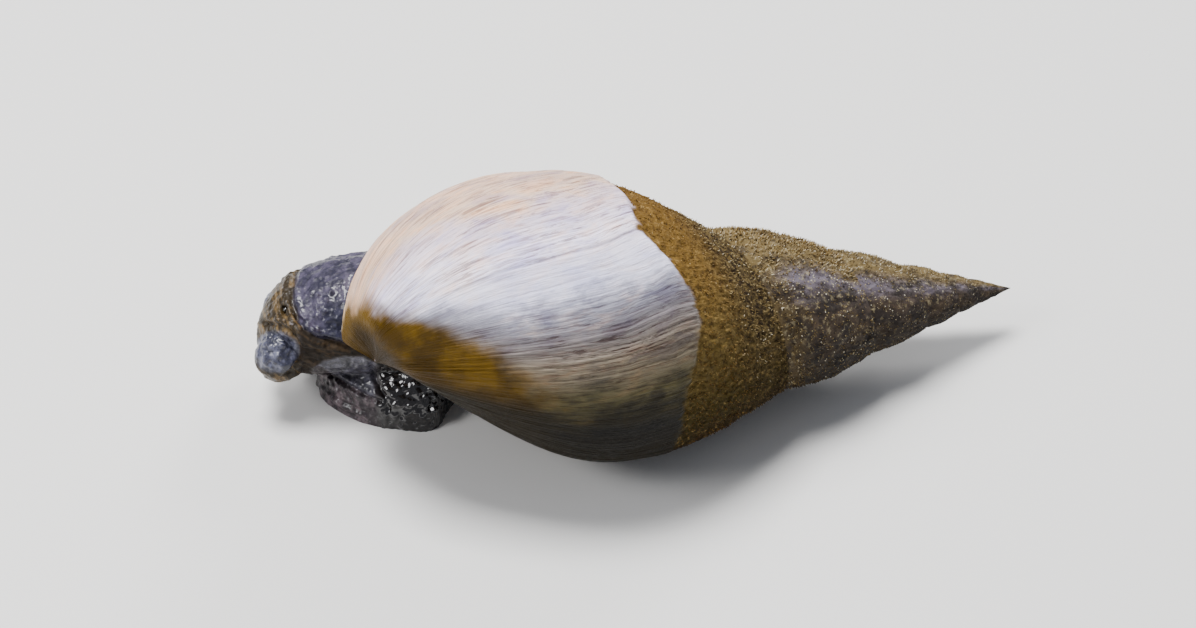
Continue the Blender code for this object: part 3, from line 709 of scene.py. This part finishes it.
def onGrid(grid, j, i):  # points and outward directions at places between a grid's points
    a, b = j.astype(int), i.astype(int)
    u, v = (j - a)[:, None], (i - b)[:, None]
    near, far = grid[a, b] * (1 - v) + grid[a, b + 1] * v, grid[a + 1, b] * (1 - v) + grid[a + 1, b + 1] * v
    points = near * (1 - u) + far * u
    normals = np.cross(far - near, grid[a, b + 1] - grid[a, b] + grid[a + 1, b + 1] - grid[a + 1, b])
    normals = unit(normals)
    axis = shellTip * mm + shift
    along = ((points - axis) @ toBase)[:, None] * toBase
    sign = np.sign(np.sum(normals * (points - axis - along), axis=1))
    return points, normals * sign[:, None]


threadDroop = (0.5, 0, -0.6)  # where the threads lean, on the whole
bakePatch = 0.0015  # half the width of each body's patch on the unwrap


def placesOn(grid, rows, growth, s, first, last):  # points, outward directions and places on the unwrap
    across, along = (growth - first) / (last - first), s / 0.5
    points, normals = onGrid(grid, across * (len(grid) - 1), along * rows)
    return points, normals, np.stack((across, along), axis=1)


def threadBodies(points, normals, length, width, rng):  # seven points each: two rings of three and a tip
    count = len(points)
    width = width * mm * rng.uniform(0.7, 1.2, count)
    lean = rng.normal(size=(count, 3)) + threadDroop
    lean -= np.sum(lean * normals, axis=1)[:, None] * normals
    side = unit(np.cross(normals, lean))
    other = np.cross(normals, side)
    bend = lean * (length * rng.uniform(0.15, 0.5, count))[:, None]
    rise = normals * length[:, None]
    rings = []
    for lift, sway, thick in ((-0.2, 0.0, 1.0), (0.5, 0.35, 0.75)):
        for k in range(3):
            turn = 2 * math.pi * k / 3
            out = (side * math.cos(turn) + other * math.sin(turn)) * (width * thick)[:, None]
            rings.append(points + rise * lift + bend * sway + out)
    return np.stack(rings + [points + rise + bend], axis=1)


threadFaces = [(0, 2, 1), (0, 1, 4, 3), (1, 2, 5, 4), (2, 0, 3, 5), (3, 4, 6), (4, 5, 6), (5, 3, 6)]


def crumbBodies(points, normals, width, rng):  # flat little grains: a ring of four, a top and a bottom
    width = width * mm * rng.uniform(0.6, 1.5, len(points))
    side = unit(np.cross(normals, rng.normal(size=normals.shape)))
    other = np.cross(normals, side)
    ring = []
    for k in range(4):
        out = side * math.cos(math.pi * k / 2) + other * math.sin(math.pi * k / 2)
        ring.append(points + out * (width * rng.uniform(0.7, 1.2, len(points)))[:, None])
    top = points + normals * (width * 0.8)[:, None]
    bottom = points - normals * (width * 0.6)[:, None]
    return np.stack(ring + [top, bottom], axis=1)


crumbFaces = [(0, 1, 4), (1, 2, 4), (2, 3, 4), (3, 0, 4), (1, 0, 5), (2, 1, 5), (3, 2, 5), (0, 3, 5)]


def joinBodies(name, groups, material):  # a group: bodies, faces of one, roots on the unwrap, numbers
    verts, faces, spots, start = [], [], [], 0
    numbers = {"tone": [], "rust": []}
    for bodies, pattern, roots, values in groups:
        keep = bodies[:, :, 2].min(axis=1) > 0.0  # none goes through the floor
        bodies, roots = bodies[keep], roots[keep]
        count, size = bodies.shape[:2]
        offsets = start + np.arange(count)[:, None] * size
        for corners in pattern:
            faces += (offsets + np.array(corners)).tolist()
        verts.append(bodies.reshape(-1, 3))
        ring = np.linspace(0, 2 * math.pi, size, endpoint=False)
        patch = bakePatch * np.stack((np.cos(ring), np.sin(ring)), axis=1)
        spots.append((roots[:, None, :] + patch).reshape(-1, 2))
        for key in numbers:
            numbers[key].append(np.repeat(values[key][keep], size))
        start += count * size
    piece = addMesh(name, np.concatenate(verts), faces, material)
    for key in numbers:
        addNumbers(piece, key, np.concatenate(numbers[key]))
    loops = np.empty(len(piece.data.loops), dtype=np.int32)
    piece.data.loops.foreach_get("vertex_index", loops)
    layer = piece.data.uv_layers.new(name="OFBake")
    layer.data.foreach_set("uv", np.clip(np.concatenate(spots)[loops], 0, 1).astype(np.float32).ravel())
    faceOut(piece)
    dress(piece, [])


def areaSpots(rng, count, first, last):  # growth values that cover the spiral evenly by area
    rate = 2 * math.log(shellShape["whorlRatio"]) / 360.0
    low, high = math.exp(rate * first), math.exp(rate * last)
    return np.log(low + rng.random(count) * (high - low)) / rate


def scatter(rng, size, growth, s, spread):  # several threads round each tuft's middle
    growth = np.repeat(growth, size["threads"]) + rng.normal(size=len(growth) * size["threads"]) * spread[0]
    s = np.repeat(s, size["threads"]) + rng.normal(size=len(s) * size["threads"]) * spread[1]
    return growth, s


def makeSpireFuzz(grid, material):
    size = spireFuzz
    rng = np.random.default_rng(size["seed"])
    first = -360.0 * (spire["turns"] + 1)
    start = first + 360.0

    def zonesAt(growth, s):
        return spireZones(growth, s / 0.5 * shellShape["coveredFrom"])

    def keepBy(growth, s, share):
        inside = (growth > start + 1) & (growth < -361) & (s > 0.004) & (s < 0.496)
        keep = inside & (rng.random(len(growth)) < share)
        return growth[keep], s[keep]

    def grow(growth, s):
        return *placesOn(grid, spire["rows"], growth, s, first, -360.0), whorlScale(growth) ** 0.5

    growth = areaSpots(rng, size["tufts"], start, -361)
    s = rng.uniform(0.01, 0.49, size["tufts"])
    algae, sheen, dim = zonesAt(growth, s)
    growth, s = keepBy(growth, s, 0.45 + 0.55 * algae - 0.35 * sheen)
    growth, s = scatter(rng, size, growth, s, (3.0, 0.012))
    growth, s = keepBy(growth, s, 1.0)
    algae, sheen, dim = zonesAt(growth, s)
    points, normals, roots, scale = grow(growth, s)
    length = size["length"] * mm * scale * rng.uniform(0.45, 1.15, len(points)) * (0.45 + 0.55 * algae)
    threads = threadBodies(points, normals, length, size["width"] * scale, rng)
    patchy = 0.5 + 0.5 * cloud(growth * 0.09, s * 14, seed=81)
    tone = rng.normal(0.4 + 0.22 * algae + 0.3 * (patchy - 0.5), 0.26) - 0.22 * dim - 0.1 * sheen
    tone = np.clip(tone, 0, 1)
    rust = np.clip(0.2 + ease((growth + 560) / 180) * 0.4 * algae, 0, 1)
    groups = [(threads, threadFaces, roots, dict(tone=tone, rust=rust))]

    growth = areaSpots(rng, size["crumbs"], start, -361)
    s = rng.uniform(0.01, 0.49, len(growth))
    algae, sheen, dim = zonesAt(growth, s)
    growth, s = keepBy(growth, s, 0.25 + 0.6 * sheen + 0.3 * dim)
    algae, sheen, dim = zonesAt(growth, s)
    points, normals, roots, scale = grow(growth, s)
    crumbs = crumbBodies(points, normals, size["crumb"] * scale, rng)
    tone = np.clip(rng.normal(0.78, 0.22, len(points)) - 0.2 * dim, 0, 1)
    groups.append((crumbs, crumbFaces, roots, dict(tone=tone, rust=np.zeros(len(points)))))
    joinBodies("spireGrowth", groups, material)


def makeBandFuzz(grid, material):
    size = bandFuzz
    rng = np.random.default_rng(size["seed"])

    def bandSpots(count, slack, spread=None):  # places inside the orange band
        growth, s = rng.uniform(-350, -5, count), rng.uniform(0.0, 0.49, count)
        if spread:
            growth, s = scatter(rng, size, growth, s, spread)
        rest = np.array([spline(shellShape["restLine"], value) for value in growth])
        keep = s / 0.5 * shellShape["coveredFrom"] < rest - slack
        keep &= (growth > -352) & (growth < -4) & (s > 0.004) & (s < 0.49)
        growth, s = growth[keep], s[keep]
        shade = ease((-165 - growth) / 50) * 0.35
        return growth, s, shade, *placesOn(grid, lastWhorl["upperRows"], growth, s, -360.0, 0.0)

    growth, s, shade, points, normals, roots = bandSpots(size["tufts"], 0.015, (2.0, 0.012))
    length = size["length"] * mm * rng.uniform(0.4, 1.2, len(points)) * (1.15 - s)
    threads = threadBodies(points, normals, length, size["width"], rng)
    toSpire = ease((0.3 - s) / 0.2)
    tone = np.clip(rng.normal(0.42 + 0.15 * toSpire, 0.2) - shade, 0, 1)
    groups = [(threads, threadFaces, roots, dict(tone=tone, rust=1 - 0.75 * toSpire))]

    growth, s, shade, points, normals, roots = bandSpots(size["crumbs"], 0.0)
    crumbs = crumbBodies(points, normals, size["crumb"], rng)
    tone = np.clip(rng.normal(0.6, 0.25, len(points)) - shade, 0, 1)
    groups.append((crumbs, crumbFaces, roots, dict(tone=tone, rust=np.full(len(points), 0.8))))
    joinBodies("bandGrowth", groups, material)


# skin of the whole body; its creases and beads are placed by where the photo's view shows them, in
# millimetres across and up from the middle of that view
skin = dict(
    voxel=0.1, swell=0.2, smoothing=5, wrinkle=0.05, lumps=0.07, foldHeight=0.05, beadHeight=0.2,
    beadWidth=1.05, facetFacing=(-0.4, -0.6, 0.69), facetLimit=0.4, mouthAt=4.35, mouthDepth=0.35,
    lobeAt=(-23.05, -2.7), lobePuff=0.13, farLobeAt=(-23.2, 7.9, 5.0),
    wetFrom=-16.0, wetTo=-9.9, wetPuff=0.09,
)
neckCrease = [(-21.1, 3.7), (-21.7, 2.95), (-21.95, 1.8), (-21.9, 0.7), (-21.55, -0.2), (-21.05, -1.05),
              (-20.2, -1.65), (-19.05, -1.95), (-17.75, -2.3)]
lobeCrease = [(-23.75, -0.65), (-22.75, -0.8), (-21.85, -1.3), (-21.35, -2.2), (-21.4, -3.2), (-21.95, -4.1),
              (-22.6, -4.6)]
footTop = [(-21.35, -4.45), (-20.4, -3.85), (-19.75, -3.35), (-18.1, -3.0), (-16.7, -3.15), (-14.15, -4.1),
           (-11.3, -5.15), (-9.15, -5.85)]
foldTop = [(-20.4, -3.7), (-20.0, -3.8), (-18.8, -4.5), (-17.75, -5.15), (-16.75, -5.75), (-15.6, -6.25)]
creases = [  # path, depth, width
    (neckCrease, 0.3, 0.19), (lobeCrease, 0.2, 0.16), (foldTop[1:], 0.2, 0.14),
    ([(-20.25, -4.35), (-19.55, -5.35), (-18.6, -6.15), (-17.6, -6.65), (-16.45, -7.1)], 0.16, 0.12),
    ([(-20.0, -5.3), (-19.1, -6.35), (-18.05, -7.0), (-16.75, -7.5)], 0.12, 0.11),
    ([(-19.1, -4.5), (-18.55, -5.5)], 0.1, 0.11), ([(-18.05, -5.2), (-17.55, -6.25)], 0.1, 0.11),
    ([(-16.25, -3.6), (-15.9, -4.7), (-15.3, -5.8), (-14.9, -7.6)], 0.14, 0.17),
]
wetFacets = [  # small wet flats on the foot, under the shell: across, up, half width
    (-15.4, -4.35, 0.2), (-15.2, -5.3, 0.24), (-14.75, -4.95, 0.14), (-14.2, -4.85, 0.2),
    (-14.35, -5.5, 0.17), (-13.65, -5.7, 0.2), (-13.2, -5.1, 0.13), (-12.5, -5.85, 0.24),
    (-12.15, -5.35, 0.17), (-14.6, -6.4, 0.15), (-13.6, -6.5, 0.17), (-13.0, -6.6, 0.13), (-11.9, -6.8, 0.24),
]
wetBeads = [  # on the left lobe and the neck: across, up, size
    (-23.6, -1.45, 0.2), (-23.1, -1.8, 0.18), (-22.55, -2.2, 0.22), (-22.2, -2.6, 0.18), (-23.4, -2.5, 0.18),
    (-22.9, -3.0, 0.18), (-20.45, 1.5, 0.2), (-20.05, 1.3, 0.22), (-19.45, 1.0, 0.18), (-20.1, -0.2, 0.18),
    (-20.45, -1.3, 0.18), (-19.6, 0.15, 0.18), (-19.1, 1.55, 0.18),
]
fleshNodes = ["foot_front", "foot_middle", "foot_tail", "mantle", "neck", "head", "mouth_lobe_left",
              "mouth_lobe_right", "tentacle_left", "tentacle_right"]


def joinedFlesh():  # the solids of the body, swollen over the gaps between them, as one closed skin
    joined = bmesh.new()
    for name in fleshNodes:
        bm = bmesh.new()
        bm.from_mesh(bpy.data.objects[name].data)
        bmesh.ops.remove_doubles(bm, verts=bm.verts, dist=0.002 * mm)
        bm.normal_update()
        moves = [v.normal * skin["swell"] * mm * min(v.calc_shell_factor(), 1.5) for v in bm.verts]
        for v, move in zip(bm.verts, moves):
            v.co += move
        mesh = bpy.data.meshes.new("swollen")
        bm.to_mesh(mesh)
        bm.free()
        joined.from_mesh(mesh)
        bpy.data.meshes.remove(mesh)
    mesh = bpy.data.meshes.new("bodySkin")
    joined.to_mesh(mesh)
    joined.free()
    piece = bpy.data.objects.new("bodySkin", mesh)
    bpy.context.scene.collection.objects.link(piece)
    remesh = piece.modifiers.new("remesh", "REMESH")
    remesh.mode = "VOXEL"
    remesh.voxel_size = skin["voxel"] * mm
    smooth = piece.modifiers.new("smooth", "SMOOTH")
    smooth.factor = 0.5
    smooth.iterations = skin["smoothing"]
    evaluated = piece.evaluated_get(bpy.context.evaluated_depsgraph_get())
    piece.data = bpy.data.meshes.new_from_object(evaluated)
    piece.modifiers.clear()
    piece.data.name = "bodySkin"
    return piece


def pathDistance(x, y, path):  # how far points lie from a path in the view, and how far along it
    best, along, length = np.full(len(x), 1e9), np.zeros(len(x)), 0.0
    for (x0, y0), (x1, y1) in zip(path, path[1:]):
        span = math.hypot(x1 - x0, y1 - y0)
        t = np.clip(((x - x0) * (x1 - x0) + (y - y0) * (y1 - y0)) / span ** 2, 0, 1)
        distance = np.hypot(x - x0 - t * (x1 - x0), y - y0 - t * (y1 - y0))
        nearer = distance < best
        best, along = np.where(nearer, distance, best), np.where(nearer, length + t * span, along)
        length += span
    return best, along


def below(across, up, path):  # 1 where a place is lower in the view than a path that runs to the right
    return ease((np.interp(across, [p[0] for p in path], [p[1] for p in path]) - up) / 0.28 + 0.5)


def wetReach(across):
    return ease((across - skin["wetFrom"]) / 0.7) * ease((skin["wetTo"] - across) / 0.9)


def fromLobe(across, up, squeeze=1.0):
    return np.hypot((across - skin["lobeAt"][0]) * squeeze, up - skin["lobeAt"][1])


def bodyZones(points, normals, across, up):  # shares of the skin's colours
    x, y, z = points.T
    near = ease((normals @ np.array(viewBack) + 0.15) / 0.3)
    foot = near * below(across, up, footTop) * ease((across + 20.75) / 0.4)
    foot += (1 - near) * ease((4.2 - z) / 0.8) * ease((x + 21.4) / 0.5)
    foot = np.where(x > -13, np.maximum(foot, ease((4.6 - z) / 0.8)), foot)
    edge = np.interp(-up, [-p[1] for p in neckCrease[:7]], [p[0] for p in neckCrease[:7]])
    underNeck = below(across, up, [(-21.35, -0.85)] + neckCrease[6:])
    neckNear = ease((across - edge) / 0.28 + 0.5) * (1 - underNeck)
    violet = (near * neckNear + (1 - near) * ease((x + 21.7) / 0.5)) * (1 - foot)
    lobeNear = ease((1.54 - fromLobe(across, up, 0.93)) / 0.29 + 0.3) * (y < 3.6)
    lobeFar = ease((2.3 - np.linalg.norm(points - skin["farLobeAt"], axis=1)) / 0.8)
    # under the neck, between head and foot: brown skin darkened by painted shade
    gap = near * ease((across + 21.5) / 0.4) * underNeck * (1 - foot)
    lobes = np.maximum(near * lobeNear, lobeFar)
    olive = (1 - violet) * (1 - lobes) * (1 - foot) * (1 - gap) * ease((-20.5 - x) / 0.5)
    folds = below(across, up, foldTop)
    pink = foot * near * folds * ease((-15.3 - across) / 1.0) * ease((2.6 - z) / 1.4 + 0.6)
    pink = np.maximum(pink, foot * ease((0.9 - z) / 0.5) * ease((y - 6) / 1.5) * 0.7)
    blue = np.maximum(lobes, foot * near * (1 - folds) * ease((-15.6 - across) / 0.7) * 0.5)
    wet = foot * near * wetReach(across)
    # painted shade on the neck's lower part next to the shell
    deep = violet * near * ease((across + 20.6) / 1.6) * ease((1.6 - up) / 1.6)
    return dict(violet=violet, olive=olive, blue=blue, pink=pink, gap=gap, wet=wet, deep=deep)


def skinRelief(points, normals, across, up):  # folds, wrinkles, wet beads and flats, in millimetres
    x, y, z = points.T
    near = ease((normals @ np.array(viewBack) + 0.1) / 0.25)
    move = np.zeros(len(x))
    for path, depth, width in creases:
        distance = pathDistance(across, up, path)[0] / width
        move += depth * near * (0.4 * np.exp(-((distance - 2.2) / 1.2) ** 2) - np.exp(-distance ** 2))
    for beadAcross, beadUp, size in wetBeads:
        away = ((across - beadAcross) ** 2 + (up - beadUp) ** 2) / (size * skin["beadWidth"]) ** 2
        move += skin["beadHeight"] * np.exp(-away) * near
    puff = skin["lobePuff"] * ease((1.55 - fromLobe(across, up)) / 0.4)
    puff += skin["wetPuff"] * wetReach(across) * ease(6.5 - z)
    move += puff * near * layeredCloud(*points.T * 2.4, seed=131, layers=2)
    mouth = np.exp(-((y - skin["mouthAt"]) / 0.16) ** 2) * ease((-23.6 - x) / 0.8) * ease((5.6 - z) / 1.2)
    move -= skin["mouthDepth"] * mouth
    ridged = 1 - 2 * np.abs(layeredCloud(*points.T * 1.5, seed=91, layers=3))
    lumps = layeredCloud(*points.T * 0.7, seed=101, layers=2)
    move += (skin["wrinkle"] * ridged + skin["lumps"] * lumps) * ease(z / 0.7)
    fold = np.cos(z * 7 + 1.5 * cloud(x * 0.6, y * 0.6, seed=111)) * ease((z - 0.3) / 0.5)
    move += skin["foldHeight"] * fold * ease((3.4 - z) / 0.8) * ease(x + 20.0) * (1 - near)
    facing = np.array(skin["facetFacing"]) / np.linalg.norm(skin["facetFacing"])
    limit = skin["facetLimit"]
    for facetAcross, facetUp, size in wetFacets:
        away = (across - facetAcross) ** 2 + (up - facetUp) ** 2
        middle = np.argmin(away + (1 - near) * 100)
        share = np.exp(-(away / size ** 2) ** 2) * near
        flat = (points[middle] - points) @ facing / np.maximum(normals @ facing, 0.4)
        move = move * (1 - share) + share * np.clip(flat + move[middle], -limit, limit)
    return move


def readRows(rows, key):
    numbers = np.empty(len(rows) * 3, dtype=np.float32)
    rows.foreach_get(key, numbers)
    return numbers.reshape(-1, 3).astype(float)


def makeSkin(material):
    piece = joinedFlesh()
    mesh = piece.data
    mesh.materials.clear()
    mesh.materials.append(material)
    world, normals = readRows(mesh.vertices, "co"), readRows(mesh.vertex_normals, "vector")
    points = (world - shift) / mm
    across, up = viewPlace(world)
    zones = bodyZones(points, normals, across, up)
    world += normals * (skinRelief(points, normals, across, up) * mm)[:, None]
    world[:, 2] = np.maximum(world[:, 2], 0.0)
    mesh.vertices.foreach_set("co", world.astype(np.float32).ravel())
    mesh.update()
    mesh.shade_smooth()
    for name, values in zones.items():
        addNumbers(piece, name, np.clip(values, 0, 1))
    distance, along = pathDistance(across, up, neckCrease)
    streak = layeredCloud(distance * 5.5, along * 1.2, seed=121, layers=4, gain=0.65) * 0.5 + 0.5
    addNumbers(piece, "streak", streak)
    dress(piece, fleshNodes)


# eyes
eye = dict(radius=0.21, rings=14, sides=20)


def makeEye(side, material):
    rings, sides = eye["rings"], eye["sides"]
    tilt = np.repeat(math.pi * np.arange(1, rings) / rings, sides)
    turn = np.tile(2 * math.pi * np.arange(sides) / sides, rings - 1)
    ball = np.stack((np.sin(tilt) * np.cos(turn), np.sin(tilt) * np.sin(turn), np.cos(tilt)), axis=1)
    ball = np.concatenate(([(0, 0, 1)], ball, [(0, 0, -1)]))
    faces, last = [], len(ball) - 1
    for k in range(sides):
        after = (k + 1) % sides
        faces += [[0, 1 + k, 1 + after], [last, last - sides + after, last - sides + k]]
        for start in range(1, last - sides, sides):
            faces.append([start + k, start + sides + k, start + sides + after, start + after])
    piece = addMesh(side + "Eye", middleOf("eye_" + side) + ball * eye["radius"] * mm, faces, material)
    faceOut(piece)
    dress(piece, ["eye_" + side])


# stage
def addStage():
    paint = Paint("paleFloor", roughness=0.9)
    material = paint.finish(Base_Color=(0.78, 0.77, 0.75))
    floor = addMesh("floor", [(-2, -2, 0), (2, -2, 0), (2, 2, 0), (-2, 2, 0)], [[0, 1, 2, 3]], material)
    world = bpy.data.worlds.new("softRoom")
    world.use_nodes = True
    background = world.node_tree.nodes["Background"].inputs
    background[0].default_value = (0.86, 0.9, 1.0, 1.0)
    background[1].default_value = 0.36
    bpy.context.scene.world = world
    lamps = (  # name, place and size in metres, power in watts
        ("keyLamp", (-0.08, 0.04, 0.36), 0.14, 2.55),
        ("frontLamp", (-0.27, -0.12, 0.23), 0.12, 0.7),
        ("backLamp", (0.16, 0.28, 0.2), 0.12, 0.8),
    )
    for name, spot, size, power in lamps:
        data = bpy.data.lights.new(name, "AREA")
        data.size = size
        data.energy = power
        lamp = bpy.data.objects.new(name, data)
        lamp.location = spot
        lamp.rotation_euler = Vector(spot).to_track_quat("Z", "Y").to_euler()
        bpy.context.scene.collection.objects.link(lamp)


addCamera()
addStage()
print("camera and stage")
lastWhorlGrid = makeLastWhorl(lastWhorlMaterial())
print("last whorl")
spireGrid = makeSpire(spireMaterial())
print("spire")
growthMaterial = fuzzMaterial()
makeSpireFuzz(spireGrid, growthMaterial)
makeBandFuzz(lastWhorlGrid, growthMaterial)
print("growth on the shell")
makeSkin(skinMaterial())
print("skin")
blackEye = eyeMaterial()
for side in ("left", "right"):
    makeEye(side, blackEye)
print("eyes")
